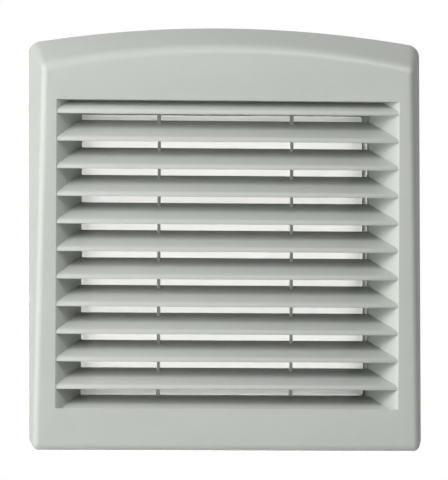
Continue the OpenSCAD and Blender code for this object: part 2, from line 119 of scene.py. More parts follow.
def pick(obj, kind, test):
    """In edit mode, selects only the verts, edges or faces that pass a test."""
    mesh = bmesh.from_edit_mesh(obj.data)
    for group in (mesh.verts, mesh.edges, mesh.faces):
        for item in group:
            item.select_set(False)
    chosen = [item for item in getattr(mesh, kind) if test(item)]
    for item in chosen:
        item.select_set(True)
    if kind != "verts":
        mesh.select_flush_mode()
    bmesh.update_edit_mesh(obj.data)
    return len(chosen)


def middle(item):
    """Centre of an edge or face, in millimetres."""
    if hasattr(item, "calc_center_median"):
        return item.calc_center_median() / MM
    return (item.verts[0].co + item.verts[1].co) / 2 / MM


def modifier(obj, kind, **settings):
    """Adds a modifier and applies it at once."""
    only(obj)
    added = obj.modifiers.new(kind.title(), kind)
    for name, value in settings.items():
        setattr(added, name, value)
    bpy.ops.object.modifier_apply(modifier=added.name)
    return obj


def soften(obj, width, angle=40):
    """Rounds all edges sharper than an angle, as a mould's edges are."""
    return modifier(obj, "BEVEL", width=width * MM, segments=2, limit_method="ANGLE",
                    angle_limit=radians(angle), harden_normals=False, use_clamp_overlap=True)


def smooth(obj, angle):
    """Shades a piece smooth, up to an angle between its faces."""
    only(obj)
    bpy.ops.object.shade_smooth_by_angle(angle=radians(angle))
    return obj


def outward(obj):
    """Merges doubles and turns every face outwards."""
    only(obj)
    bpy.ops.object.mode_set(mode="EDIT")
    bpy.ops.mesh.select_all(action="SELECT")
    bpy.ops.mesh.remove_doubles(threshold=1e-6)
    bpy.ops.mesh.normals_make_consistent(inside=False)
    bpy.ops.object.mode_set(mode="OBJECT")
    return obj


def joined(name, parts):
    """Joins finished parts into one piece."""
    clear_selection()
    for part in parts:
        part.select_set(True)
    bpy.context.view_layer.objects.active = parts[0]
    bpy.ops.object.join()
    parts[0].name = name
    parts[0].data.name = name
    return parts[0]


def copied(obj, shift):
    """A copy with its own mesh, moved by a shift in millimetres."""
    only(obj)
    bpy.ops.object.duplicate()
    copy = bpy.context.object
    copy.location = Vector(shift) * MM
    bpy.ops.object.transform_apply(location=True, rotation=False, scale=False)
    return copy


def prism(name, points, start, end):
    """An outline of (y, z) points pulled along X, all in millimetres."""
    clear_selection()
    bpy.ops.mesh.primitive_circle_add(vertices=len(points), radius=1, fill_type="NGON")
    obj = bpy.context.object
    obj.name = name
    for vertex, (y, z) in zip(obj.data.vertices, points):
        vertex.co = Vector((start, y, z)) * MM
    bpy.ops.object.mode_set(mode="EDIT")
    bpy.ops.mesh.select_all(action="SELECT")
    bpy.ops.mesh.extrude_region_move(TRANSFORM_OT_translate={"value": ((end - start) * MM, 0, 0)})
    bpy.ops.object.mode_set(mode="OBJECT")
    return outward(obj)


print("helpers ready")

# %% [markdown]
# ## The cover's skin
# The real cover is one thin injection moulding. Its sides lean inwards for
# the mould, more at the arched top, and meet the flat face in a soft fold.
# Along the arch the fold is twice as soft, and it drops a little towards the
# two shoulders. A bevelled cube would give the fold one radius all round and
# would not follow the lean. So we work out stations round the outline, and
# for each the points of its rings: the straight band at the rim, the leaning
# wall with a ring near each of its ends, which keeps its shade even, and
# eleven rings round the fold.

# %% Stations round the outline
def inset(lean, radius, z):
    """How far a fold's centre stands in from the rim, for a wall's lean."""
    deep = max(0, BAND_Y - face_y(z) - radius / cos(FACE_TILT))
    return deep * tan(lean) + radius / cos(lean)


def side_inset(z):
    """The inset of the fold along a side, at height z."""
    return inset(SIDE_DRAFT, FOLD_R, z)


def top_inset(z):
    """The inset of the fold along the arch, at height z."""
    return inset(TOP_DRAFT, TOP_FOLD_R, z) / (1 + SLOPE * tan(TOP_DRAFT))


def eased(t):
    """From 0 to 1 with a soft start and end."""
    return t * t * (3 - 2 * t)


def stations(arch_parts=48, corner_parts=9, side_parts=6):
    """(rim disc centre, fold centre, outward direction, fold radius) round the
    outline, from the lower left corner, clockwise as seen from the front."""
    disc_x, disc_low = HALF_W - CORNER_R, BOTTOM + CORNER_R
    disc_top = arch_at(ARCH_R - CORNER_R, disc_x)
    fold_x = HALF_W - side_inset(disc_top + CORNER_R - top_inset(disc_top))
    fold_low = BOTTOM + FOLD_R
    low_x = HALF_W - side_inset(fold_low)
    arch_end = atan2(disc_top - ARCH_Z, disc_x)
    out = []

    def on_arch(x):
        """The height of the fold's centre under the arch."""
        inner = arch_at(ARCH_R - top_inset(arch_at(ARCH_R, x) - TOP_FOLD_R), x)
        return inner - SHOULDER_DROP * (x / fold_x) ** 2

    def fan(disc, fold, start, end, first=FOLD_R, last=FOLD_R):
        """Stations round a corner, from one direction to another."""
        for t in (i / corner_parts for i in range(corner_parts + 1)):
            a = start + (end - start) * t
            out.append((disc, fold, (cos(a), sin(a)), first + (last - first) * eased(t)))

    def side(sign, steps):
        """Stations up or down one side."""
        for t in (i / side_parts for i in steps):
            disc = (sign * disc_x, disc_low + t * (disc_top - disc_low))
            fold = (sign * (low_x + t * (fold_x - low_x)), fold_low + t * (on_arch(fold_x) - fold_low))
            out.append((disc, fold, (float(sign), 0.0), FOLD_R))

    fan((-disc_x, disc_low), (-low_x, fold_low), 1.5 * pi, pi)
    side(-1, range(1, side_parts))
    fan((-disc_x, disc_top), (-fold_x, on_arch(fold_x)), pi, pi - arch_end, last=TOP_FOLD_R)
    for t in (-1 + 2 * i / arch_parts for i in range(1, arch_parts)):
        high = arch_at(ARCH_R - CORNER_R, disc_x * t)
        a = atan2(high - ARCH_Z, disc_x * t)
        out.append(((disc_x * t, high), (fold_x * t, on_arch(fold_x * t)), (cos(a), sin(a)), TOP_FOLD_R))
    fan((disc_x, disc_top), (fold_x, on_arch(fold_x)), arch_end, 0.0, first=TOP_FOLD_R)
    side(1, range(side_parts - 1, 0, -1))
    fan((disc_x, disc_low), (low_x, fold_low), 0.0, -pi / 2)
    for t in (1 - 2 * i / side_parts for i in range(1, side_parts)):
        out.append(((disc_x * t, disc_low), (low_x * t, fold_low), (0.0, -1.0), FOLD_R))
    return out


FACE_NORMAL = Vector((0, -cos(FACE_TILT), -sin(FACE_TILT)))


def rings(station, fold_parts=10, near_end=0.06):
    """Points of one station, from the rim's rear edge to the flat face. The
    wall is the line from the rim that just touches the fold's circle."""
    disc, fold, (nx, nz), radius = station
    edge = Vector((disc[0] + CORNER_R * nx, BAND_Y, disc[1] + CORNER_R * nz))
    centre = Vector((fold[0], at_depth(fold[1], radius), fold[1]))
    gap = edge - centre
    out_by, back_by = gap.x * nx + gap.z * nz, gap.y
    lean = acos(radius / sqrt(out_by ** 2 + back_by ** 2)) - atan2(back_by, out_by)
    start = Vector((nx * cos(lean), -sin(lean), nz * cos(lean)))
    turn = start.angle(FACE_NORMAL)
    arc = [(start * sin((1 - t) * turn) + FACE_NORMAL * sin(t * turn)) / sin(turn)
           for t in (i / fold_parts for i in range(fold_parts + 1))]
    fold_points = [centre + radius * n for n in arc]
    wall = [edge.lerp(fold_points[0], t) for t in (0, near_end, 1 - near_end)]
    return [Vector((edge.x, RIM_Y, edge.z))] + wall + fold_points


outline = [rings(station) for station in stations()]
print(len(outline), "stations of", len(outline[0]), "rings")

# %% [markdown]
# Now the skin itself. A circle with one vertex for each station goes to the
# first ring, and each extrusion to the next one. Extruded vertices come in
# no fixed order, so each finds its station as the nearest point of the ring
# that it came from. A last fill closes the face.

# %% Extrude the skin ring by ring
clear_selection()
bpy.ops.mesh.primitive_circle_add(vertices=len(outline), radius=1)
skin = bpy.context.object
for vertex, points in zip(skin.data.vertices, outline):
    vertex.co = points[0] * MM
bpy.ops.object.mode_set(mode="EDIT")
bpy.ops.mesh.select_all(action="SELECT")
for ring in range(1, len(outline[0])):
    nearest = KDTree(len(outline))
    for i, points in enumerate(outline):
        nearest.insert(points[ring - 1] * MM, i)
    nearest.balance()
    bpy.ops.mesh.extrude_region_move(TRANSFORM_OT_translate={"value": (0, 0, 0)})
    mesh = bmesh.from_edit_mesh(skin.data)
    for vertex in mesh.verts:
        if vertex.select:
            vertex.co = outline[nearest.find(vertex.co)[1]][ring] * MM
    bmesh.update_edit_mesh(skin.data)
bpy.ops.mesh.edge_face_add()
bpy.ops.mesh.select_all(action="SELECT")
bpy.ops.mesh.remove_doubles(threshold=1e-6)
bpy.ops.mesh.normals_make_consistent(inside=False)
print("skin:", len(bmesh.from_edit_mesh(skin.data).verts), "vertices")

# %% [markdown]
# The louvred window is a hole in the flat face whose rim is folded back. A
# boolean would cut through the skin's wall as well, so we bisect the face
# along the window's four edges while it is still thin, and delete the middle.

# %% Cut the window
def on_face(item):
    """Whether an edge or face lies on the flat face."""
    place = middle(item)
    return abs(place.y - face_y(place.z)) < TINY


def window_half(depth):
    """Half width of the tapering window at a depth behind the face."""
    return WINDOW_HALF - depth * NARROWING / DEPTH


def in_window(item):
    """Whether a face lies on the flat face and inside the window."""
    place = middle(item)
    return on_face(item) and abs(place.x) < WINDOW_HALF and WINDOW_BOTTOM < place.z < WINDOW_TOP


for place, direction in (((WINDOW_HALF, 0, 0), (1, 0, 0)), ((-WINDOW_HALF, 0, 0), (1, 0, 0)),
                         ((0, 0, WINDOW_TOP), (0, 0, 1)), ((0, 0, WINDOW_BOTTOM), (0, 0, 1))):
    pick(skin, "faces", on_face)
    bpy.ops.mesh.bisect(plane_co=Vector(place) * MM, plane_no=direction)
print("window faces:", pick(skin, "faces", in_window))
bpy.ops.mesh.delete(type="FACE")

# %% [markdown]
# The window's sides slant inwards all the way to the louvres' rear. Its top
# and bottom go straight back a little. We extrude the hole's edges back in
# three steps, so that walls of different depth share their corners.

# %% Fold the window's edges back
SIDES, TOP, FLOOR = 1, 2, 4


def window_edge(depth, walls):
    """A test for the open edges at a depth, on the chosen walls."""
    def test(edge):
        place = middle(edge)
        if len(edge.link_faces) != 1 or abs(place.y - at_depth(place.z, depth)) > TINY:
            return False
        if abs(abs(place.x) - window_half(depth)) < TINY and WINDOW_BOTTOM < place.z < WINDOW_TOP:
            return bool(walls & SIDES)
        if abs(place.x) >= window_half(depth):
            return False
        return (bool(walls & TOP) and abs(place.z - WINDOW_TOP) < TINY
                or bool(walls & FLOOR) and abs(place.z - WINDOW_BOTTOM) < TINY)
    return test


SILL, HEAD = 2.6, 8
steps = [(0, SILL, SIDES + TOP + FLOOR), (SILL, HEAD, SIDES + TOP), (HEAD, DEPTH, SIDES)]
for near, deep, walls in steps:
    count = pick(skin, "edges", window_edge(near, walls))
    bpy.ops.mesh.extrude_region_move(TRANSFORM_OT_translate={"value": (0, 0, 0)})
    mesh = bmesh.from_edit_mesh(skin.data)
    for vertex in mesh.verts:
        if vertex.select:
            x, z = vertex.co.x / MM, vertex.co.z / MM
            if abs(abs(x) - window_half(near)) < TINY:
                x *= window_half(deep) / window_half(near)
            vertex.co = Vector((x, at_depth(z, deep), z)) * MM
    bmesh.update_edit_mesh(skin.data)
    print("folded back", count, "edges to", deep, "mm")
bpy.ops.mesh.select_all(action="SELECT")
bpy.ops.mesh.normals_make_consistent(inside=False)
bpy.ops.object.mode_set(mode="OBJECT")

# %% [markdown]
# Solidify needs normals that face outwards, so we turn them if the right
# edge's point inwards. It gives the skin its wall on the inner side. The
# window's walls then end on one flat plane, at the louvres' rear.

# %% Give the skin its wall
right_edge = [v for v in skin.data.vertices if v.co.x > (HALF_W - 0.1) * MM]
if min(v.normal.x for v in right_edge) < 0:
    skin.data.flip_normals()
modifier(skin, "SOLIDIFY", thickness=WALL * MM, offset=-1, use_even_offset=True)
print("moulding wall:", WALL, "mm,", len(skin.data.polygons), "faces")
rear = Vector((0, at_depth(0, DEPTH), 0)) * MM
only(skin)
bpy.ops.object.mode_set(mode="EDIT")
AROUND = 3.0
pick(skin, "faces", lambda f: (abs(middle(f).x) < WINDOW_HALF + 1.5 * AROUND
                               and WINDOW_BOTTOM - AROUND < middle(f).z < WINDOW_TOP + AROUND))
bpy.ops.mesh.bisect(plane_co=rear, plane_no=-FACE_NORMAL, use_fill=True, clear_outer=True)
bpy.ops.object.mode_set(mode="OBJECT")

# %% [markdown]
# The hinge sits inside the cover's bottom wall. The frame's two eyes reach
# into round pockets in that wall, so we take two cylinders out of it.

# %% Pockets for the frame's hinge eyes
HINGE_X, HINGE_Y, HINGE_Z = 80.0, -3.1, -121.4
PIN_R, LUG_R, POCKET_R = 0.8, 1.9, 2.1
EYE_LEN, LUG_LEN, EYE_GAP = 8.0, 5.0, 0.3


def rod(name, x, radius, length, parts=48):
    """A cylinder along X on the hinge's axis, by its middle."""
    clear_selection()
    bpy.ops.mesh.primitive_cylinder_add(vertices=parts, radius=radius * MM, depth=length * MM,
                                        location=Vector((x, HINGE_Y, HINGE_Z)) * MM, rotation=(0, pi / 2, 0))
    bpy.ops.object.transform_apply(location=True, rotation=True, scale=True)
    bpy.context.object.name = name
    return bpy.context.object


def cut(obj, tool):
    """Takes a tool's shape out of a piece, and removes the tool."""
    modifier(obj, "BOOLEAN", object=tool, operation="DIFFERENCE", solver="EXACT")
    bpy.data.objects.remove(tool)
    return obj


for x in (-HINGE_X, HINGE_X):
    cut(skin, rod("pocket", x, POCKET_R, EYE_LEN + 2 * EYE_GAP))
soften(skin, 0.35, angle=44)
print("skin with pockets:", len(skin.data.polygons), "faces")

# %% [markdown]
# ## Louvres
# Each louvre is the same blade: an upright lip, a round nose, and a slope
# that climbs to the rear, so that nobody can poke straight through. We draw
# its section, pull it across the window, trim its ends to the slanting side
# walls. The other blades are copies, each a pitch lower, and the first and
# the last are cut short at the window's top and bottom.

# %% Draw and set the louvres
LIP, NOSE_R, BLADE_T, RECESS = 2.6, 3.6, 2.0, 0.4
BLADE_HALF, INTO_SIDE, INTO_TOP = 112.0, 1.3, 1.4


def louvre_section():
    """(depth, height) points from the bottom of the lip."""
    run = DEPTH - RECESS - SLOPE * RISE
    tilt = atan2(RISE - LIP, run)
    bend = NOSE_R * tan((pi / 2 - tilt) / 2)
    turns = [(pi / 2 - tilt) * i / 8 for i in range(9)]
    nose = [(NOSE_R * (1 - cos(a)), LIP - bend + NOSE_R * sin(a)) for a in turns]
    drop = BLADE_T / cos(tilt)
    heel, foot, past = 1.1 * BLADE_T, 0.8 * BLADE_T, 2.0
    return ([(0, 0)] + nose + [(run + past, RISE + past * tan(tilt)),
                               (run + past, RISE - drop + past * tan(tilt)),
                               (heel, LIP - drop + heel * tan(tilt)), (foot, 0)])


def trim(obj, place, normal):
    """Cuts away what lies beyond a plane and closes the cut."""
    only(obj)
    bpy.ops.object.mode_set(mode="EDIT")
    bpy.ops.mesh.select_all(action="SELECT")
    bpy.ops.mesh.bisect(plane_co=Vector(place) * MM, plane_no=normal, use_fill=True, clear_outer=True)
    bpy.ops.object.mode_set(mode="OBJECT")


def louvre():
    """The uppermost blade, with its ends let into the window's walls."""
    y = face_y(FIRST_LIP)
    blade = prism("louvre", [(y + RECESS + d, FIRST_LIP + h) for d, h in louvre_section()],
                  -BLADE_HALF, BLADE_HALF)
    slant = atan2(NARROWING, DEPTH)
    for side in (-1, 1):
        trim(blade, (side * (WINDOW_HALF + INTO_SIDE), y, 0), (side * cos(slant), sin(slant), 0))
    trim(blade, rear / MM, -FACE_NORMAL)
    return blade


first = louvre()
blades = [first] + [copied(first, (0, SLOPE * PITCH * i, -PITCH * i)) for i in range(1, LOUVRES)]
trim(blades[0], (0, 0, WINDOW_TOP + INTO_TOP), (0, 0, 1))
trim(blades[-1], (0, 0, WINDOW_BOTTOM - INTO_TOP), (0, 0, -1))
for blade in blades:
    soften(blade, 0.3, angle=35)
print(len(blades), "blades,", len(blades[3].data.polygons), "faces each")

# %% [markdown]
# Two upright ribs tie the blades together, 42 mm to each side of the middle.
# They show as the small dark ticks in every gap. A roof closes the space
# over the top blade.

# %% Tie ribs and roof
TIE_X, TIE_T, TIE_DEPTH = 42.0, 2.0, 14.0
ROOF_FRONT, ROOF_T = 6.0, 1.8
REAR_END, INTO_BLADE = DEPTH - 0.02, 0.4
OPENING_TOP, OPENING_BOTTOM = FIRST_LIP + 3.6, FIRST_LIP - (LOUVRES - 1) * PITCH + RISE - RECESS


def upright(name, x, thick, low, high, front, back):
    """A plate across X that follows the face's slope, between two depths."""
    points = [(at_depth(low, front), low), (at_depth(low, back), low),
              (at_depth(high, back), high), (at_depth(high, front), high)]
    return prism(name, points, x - thick / 2, x + thick / 2)


tie = upright("tie_rib", -TIE_X, TIE_T, OPENING_BOTTOM - INTO_BLADE, OPENING_TOP + INTO_BLADE,
              TIE_DEPTH, REAR_END)
soften(tie, 0.2)
extras = [tie, copied(tie, (2 * TIE_X, 0, 0))]
roof_half = window_half(2 * ROOF_FRONT)
near, far = at_depth(OPENING_TOP, ROOF_FRONT), at_depth(OPENING_TOP, REAR_END)
roof_top = OPENING_TOP + ROOF_T
extras.append(prism("roof", [(near, OPENING_TOP), (far, OPENING_TOP), (far, roof_top), (near, roof_top)],
                    -roof_half, roof_half))
print("ties at", TIE_X, "mm from the middle")

# %% [markdown]
# Inside, thin ribs stiffen the deep top, two snap hooks hold the cover shut
# on the frame's catches, and four lugs carry the hinge pins. They show when
# the cover swings down. Each is drawn from the side and pulled along X, and
# what stands on the left is copied to the right. The ribs end at different
# heights under the arch, so each of them is drawn by itself.

# %% Stiffening ribs, hooks and lugs
RIB_PLACES, RIB_T, RIB_INSET = (-91.5, -46, 0, 46, 91.5), 1.6, 1.4
RIB_LOW, RIB_BACK = WINDOW_TOP + 0.4, -6.0
HOOK_X, HOOK_W, HOOK_T = 60.0, 12.0, 1.6
ARM_TOP, NOSE_TOP, HOOK_BACK, NOSE_LEN, NOSE_FLAT = 103.4, 105.0, 2.6, 3.4, 0.8
BRACE_HIGH, BRACE_LONG, INTO_ARM = 9.0, 12.0, 0.2


def top_rib(x):
    """A rib from the window's top return up to the leaning wall."""
    arch_station = min(stations(), key=lambda s: (s[2][1] < 0.5, abs(s[1][0] - x)))
    # The outline's points, drawn in towards a place in the middle of the cover
    inner = [p - (p - Vector((p.x, 20, 60))).normalized() * RIB_INSET for p in rings(arch_station)[1:]]
    rim, fold = inner[0], inner[3]
    upper = rim.lerp(fold, (RIB_BACK - rim.y) / (fold.y - rim.y)).z
    points = [(at_depth(RIB_LOW, 1.2), RIB_LOW), (RIB_BACK, RIB_LOW), (RIB_BACK, upper)]
    points += [(p.y, p.z) for p in inner if p.y < RIB_BACK]
    return prism("top_rib", points, x - RIB_T / 2, x + RIB_T / 2)


def left_hook():
    """The left snap hook: its arm with the nose, and two gussets that brace it."""
    root, tip = at_depth(ARM_TOP, 1.0), HOOK_BACK + NOSE_LEN
    start, end = -HOOK_X - HOOK_W / 2, -HOOK_X + HOOK_W / 2
    arm = prism("hook", [(root, ARM_TOP - HOOK_T), (root, ARM_TOP), (HOOK_BACK, ARM_TOP),
                         (HOOK_BACK, NOSE_TOP), (HOOK_BACK + NOSE_FLAT, NOSE_TOP),
                         (tip, ARM_TOP), (tip, ARM_TOP - HOOK_T)], start, end)
    foot = ARM_TOP - INTO_ARM
    brace = [(root, foot), (root, ARM_TOP + BRACE_HIGH), (root + BRACE_LONG, foot)]
    gusset = soften(prism("gusset", brace, start, start + HOOK_T), 0.2)
    return [soften(arm, 0.3), gusset, copied(gusset, (HOOK_W - HOOK_T, 0, 0))]


def left_lugs():
    """The two lugs beside the left hinge eye, bored for the pin."""
    reach = EYE_LEN / 2 + EYE_GAP + LUG_LEN / 2
    x = -HINGE_X - reach
    lug = cut(rod("lug", x, LUG_R, LUG_LEN), rod("bore", x, PIN_R + 0.01, LUG_LEN + 2))
    soften(lug, 0.2)
    return [lug, copied(lug, (2 * reach, 0, 0))]


for x in RIB_PLACES:
    extras.append(soften(top_rib(x), 0.25))
for parts, apart in ((left_hook(), 2 * HOOK_X), (left_lugs(), 2 * HINGE_X)):
    extras += parts + [copied(part, (apart, 0, 0)) for part in parts]
cover = smooth(joined("cover_moulding", [skin] + blades + extras), 31)
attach(cover, "cover")
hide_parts("front_cover")
print("cover:", len(cover.data.polygons), "faces")

# %% [markdown]
# ## Springs
# Each panel clip is pushed out by a small compression spring between the
# tray's wall and the clip's arm. The real one is wound from 0.7 mm wire. A
# bevelled curve would need every point of the coil worked out, so we place
# the wire's round section beside the axis and let the Screw modifier wind
# it. Four copies are laid in their places, and a sine wave along each makes
# its turns closer at both ends and in the middle.

# %% Wind the four springs
SPRING_ROOT, SPRING_LEN, SPRING_BACK, SPRING_R, WIRE_R = 92.1, 12.2, 7.0, 2.2, 0.35
CLIP_Z, END_GAP, SQUEEZED, CLOSER = 60.0, 0.05, 0.71, 0.045
TRAVEL = (SPRING_LEN - 2 * WIRE_R - 2 * END_GAP) * MM


def wound(turns=5.5):
    """A closed coil along Z that starts at the origin."""
    clear_selection()
    bpy.ops.mesh.primitive_circle_add(vertices=12, radius=WIRE_R * MM, fill_type="NOTHING",
                                      location=(SPRING_R * MM, 0, 0), rotation=(pi / 2, 0, 0))
    coil = bpy.context.object
    bpy.ops.object.transform_apply(location=True, rotation=True, scale=True)
    modifier(coil, "SCREW", axis="Z", angle=2 * pi * turns, screw_offset=TRAVEL, steps=160,
             render_steps=160, use_merge_vertices=True, use_normal_calculate=True)
    only(coil)
    bpy.ops.object.mode_set(mode="EDIT")
    bpy.ops.mesh.select_all(action="DESELECT")
    bpy.ops.mesh.select_mode(type="EDGE")
    bpy.ops.mesh.select_non_manifold()
    bpy.ops.mesh.edge_face_add()
    bpy.ops.object.mode_set(mode="OBJECT")
    return coil


def laid(coil, name, side, up):
    """Lays a coil along X, from the tray's wall to a clip's arm."""
    coil.name = name
    for vertex in coil.data.vertices:
        x, y, z = vertex.co
        z -= TRAVEL * CLOSER * sin(4 * pi * (z / TRAVEL - 0.5))
        along = (SPRING_ROOT + WIRE_R + END_GAP) * MM + z
        vertex.co = Vector((side * along, SPRING_BACK * MM + y, up * CLIP_Z * MM + x))
    return smooth(outward(coil), 60)


master = wound()
springs = []
for side, side_word in ((-1, "left"), (1, "right")):
    for up, up_word in ((1, "upper"), (-1, "lower")):
        corner = f"{up_word}_{side_word}"
        coil = laid(copied(master, (0, 0, 0)), f"spring_{corner}", side, up)
        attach(coil, "frame")
        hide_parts(f"clip_spring_{corner}")
        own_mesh(coil)
        springs.append(coil)
bpy.data.objects.remove(master)
print("springs:", [s.name for s in springs])

# %% [markdown]
# ## Filter mat
# Behind the louvres lies a mat of bonded white fibres, cut with a blade from
# a roll. Its faces are a little uneven and its cut edges soft. Bonded fleece
# is too stiff to hang in folds, so a cloth simulation would add nothing. We
# start from a cube of its size, round its edges and remesh it finely, and
# let two noise textures push its surface about, always a little inwards, so
# that it stays in its tray.

# %% Cut and fluff the mat
MAT_LOW, MAT_HIGH = Vector((-89.9, 11.5, -87.95)), Vector((89.9, 23.5, 89.7))
clear_selection()
bpy.ops.mesh.primitive_cube_add(size=1, location=(MAT_LOW + MAT_HIGH) / 2 * MM)
mat_piece = bpy.context.object
mat_piece.name = "fleece_mat"
mat_piece.scale = (MAT_HIGH - MAT_LOW) * MM
bpy.ops.object.transform_apply(location=True, rotation=True, scale=True)
modifier(mat_piece, "BEVEL", width=1.0 * MM, segments=3, limit_method="ANGLE", angle_limit=radians(40))
modifier(mat_piece, "REMESH", mode="VOXEL", voxel_size=1.25 * MM)
for name, patch in (("fluff", 6), ("waves", 40)):
    clouds = bpy.data.textures.new(name, "CLOUDS")
    clouds.noise_scale = patch * MM
    modifier(mat_piece, "DISPLACE", texture=clouds, strength=0.5 * MM, mid_level=1.0, texture_coords="LOCAL")
smooth(mat_piece, 60)
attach(mat_piece, "frame")
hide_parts("filter_mat")
print("mat:", len(mat_piece.data.polygons), "faces")

# %% [markdown]
# ## Finishes
# Shader maths reads best as plain expressions, so a small class wraps a
# socket: adding or multiplying it adds a Math node. All patterns use Object
# coordinates, so they keep their scale in millimetres on every piece.

# %% Wrap the sockets
class Wire:
    """A number or colour that runs through a material."""

    def __init__(self, finish, socket):
        self.finish, self.socket = finish, socket

    def _math(self, operation, *values):
        return self.finish.add("ShaderNodeMath", {"operation": operation}, dict(enumerate(values)))

    def __add__(self, other):
        return self._math("ADD", self, other)

    def __sub__(self, other):
        return self._math("SUBTRACT", self, other)

    def __rsub__(self, other):
        return self._math("SUBTRACT", other, self)

    def __mul__(self, other):
        return self._math("MULTIPLY", self, other)

    def __abs__(self):
        return self._math("ABSOLUTE", self)

    __radd__, __rmul__ = __add__, __mul__


class Finish:
    """A new material and its nodes."""

    def __init__(self, name):
        self.material = bpy.data.materials.new(name)
        self.material.use_nodes = True
        self.tree = self.material.node_tree
        self.tree.nodes.clear()
        self.place = self.add("ShaderNodeTexCoord", out="Object")

    def add(self, kind, settings=None, inputs=None, out=0):
        """Adds a node: its settings first, then the values or wires of its sockets."""
        node = self.tree.nodes.new(kind)
        for key, value in (settings or {}).items():
            setattr(node, key, value)
        for key, value in (inputs or {}).items():
            if isinstance(value, Wire):
                self.tree.links.new(value.socket, node.inputs[key])
            else:
                node.inputs[key].default_value = value
        return Wire(self, node.outputs[out])

    def noise(self, size_mm, detail=2.0, roughness=0.5, stretch=(1, 1, 1)):
        """Noise whose patches are about a size across, 0 to 1."""
        place = self.add("ShaderNodeMapping", {}, {"Vector": self.place, "Scale": stretch})
        return self.add("ShaderNodeTexNoise", {}, {"Vector": place, "Scale": 1 / (size_mm * MM),
                                                   "Detail": detail, "Roughness": roughness})

    def mix(self, factor, first, second):
        """A blend of two colours."""
        return self.add("ShaderNodeMix", {"data_type": "RGBA"}, {0: factor, 6: first, 7: second}, out=2)

    def ramp(self, value, low, high):
        """0 below one level, 1 above the other."""
        return self.add("ShaderNodeMapRange", {"clamp": True},
                        {"Value": value, "From Min": low, "From Max": high})

    def bump(self, height, strength, distance_mm):
        """A relief from a height, for the Normal socket."""
        return self.add("ShaderNodeBump", {},
                        {"Height": height, "Strength": strength, "Distance": distance_mm * MM})

    def finish(self, shader):
        """Sends the shader to the output and hands over the material."""
        out = self.tree.nodes.new("ShaderNodeOutputMaterial")
        self.tree.links.new(shader.socket, out.inputs["Surface"])
        return self.material


def tone(red, green, blue, by=1.0):
    """A linear colour from a written 0 to 255 one."""
    linear = [((c / 255 + 0.055) / 1.055) ** 2.4 for c in (red, green, blue)]
    return (*[min(1, c * by) for c in linear], 1)


def wear(obj, material):
    """Gives a piece one material."""
    obj.data.materials.clear()
    obj.data.materials.append(material)


print("finishes ready")

# %% [markdown]
# The cover and the frame are satin light grey ABS. Its mould was spark
# eroded, so the skin has a fine even grain, and its colour is a little
# uneven where the plastic flowed. Noise at three scales gives the flow, the
# clouds and the grain. The frame is the same plastic with a coarser grain
# and less shine. The clips are dark grey.

# %% Moulded plastics
def moulded(name, colour, grain_mm=0.5, rough=0.34, grain=0.12):
    """Satin plastic with flow marks, faint clouds and a fine grain."""
    paint = Finish(name)
    flow = paint.noise(60, 3, 0.5, (1, 1, 2.5))
    cloud = paint.noise(9, 2, 0.5)
    skin_grain = paint.noise(grain_mm, 3, 0.6)
    base = paint.mix(flow, tone(*colour, by=0.965), tone(*colour, by=1.035))
    base = paint.mix(paint.ramp(cloud, 0.35, 0.75) * 0.25, base, tone(*colour, by=0.95))
    shine = rough + (flow - 0.5) * 0.08 + (skin_grain - 0.5) * 0.12
    relief = paint.bump(skin_grain + cloud * 0.2, grain, 0.04)
    return paint.finish(paint.add("ShaderNodeBsdfPrincipled", {}, {
        "Base Color": base, "Roughness": shine, "Normal": relief, "IOR": 1.5,
        "Specular IOR Level": 0.4}))


cover_grey = moulded("cover_abs", (193, 197, 191))
frame_grey = moulded("frame_abs", (190, 195, 189), 0.7, 0.46, 0.2)
clip_grey = moulded("clip_polyamide", (84, 87, 87), 0.4, 0.5, 0.25)
wear(cover, cover_grey)
wear(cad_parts["mounting_frame"], frame_grey)
clips = [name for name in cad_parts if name.startswith(("clip_upper", "clip_lower"))]
for name in clips:
    wear(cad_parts[name], clip_grey)
print("plastic on the cover, the frame and", len(clips), "clips")

# %% [markdown]
# The mat is fleece: crossed white fibres that let light through. Two noise
# patterns stretched in different directions read as fibres. Most of its
# light comes through from behind, which a Translucent shader gives. Its edges
# are painted lighter: they let more light through than its middle, painted
# light that makes up for the shade falling on the mat's edges in the tray.
# Where that begins and ends is given as distances from the mat's middle.

# %% Fleece
# Painted light: from these distances outwards the mat's edges let more light through, against the shade that
# falls on them in the tray.
PAINTED_EDGE_LIGHT_SIDES, PAINTED_EDGE_LIGHT_ENDS = (64 * MM, 86 * MM), (60 * MM, 82 * MM)


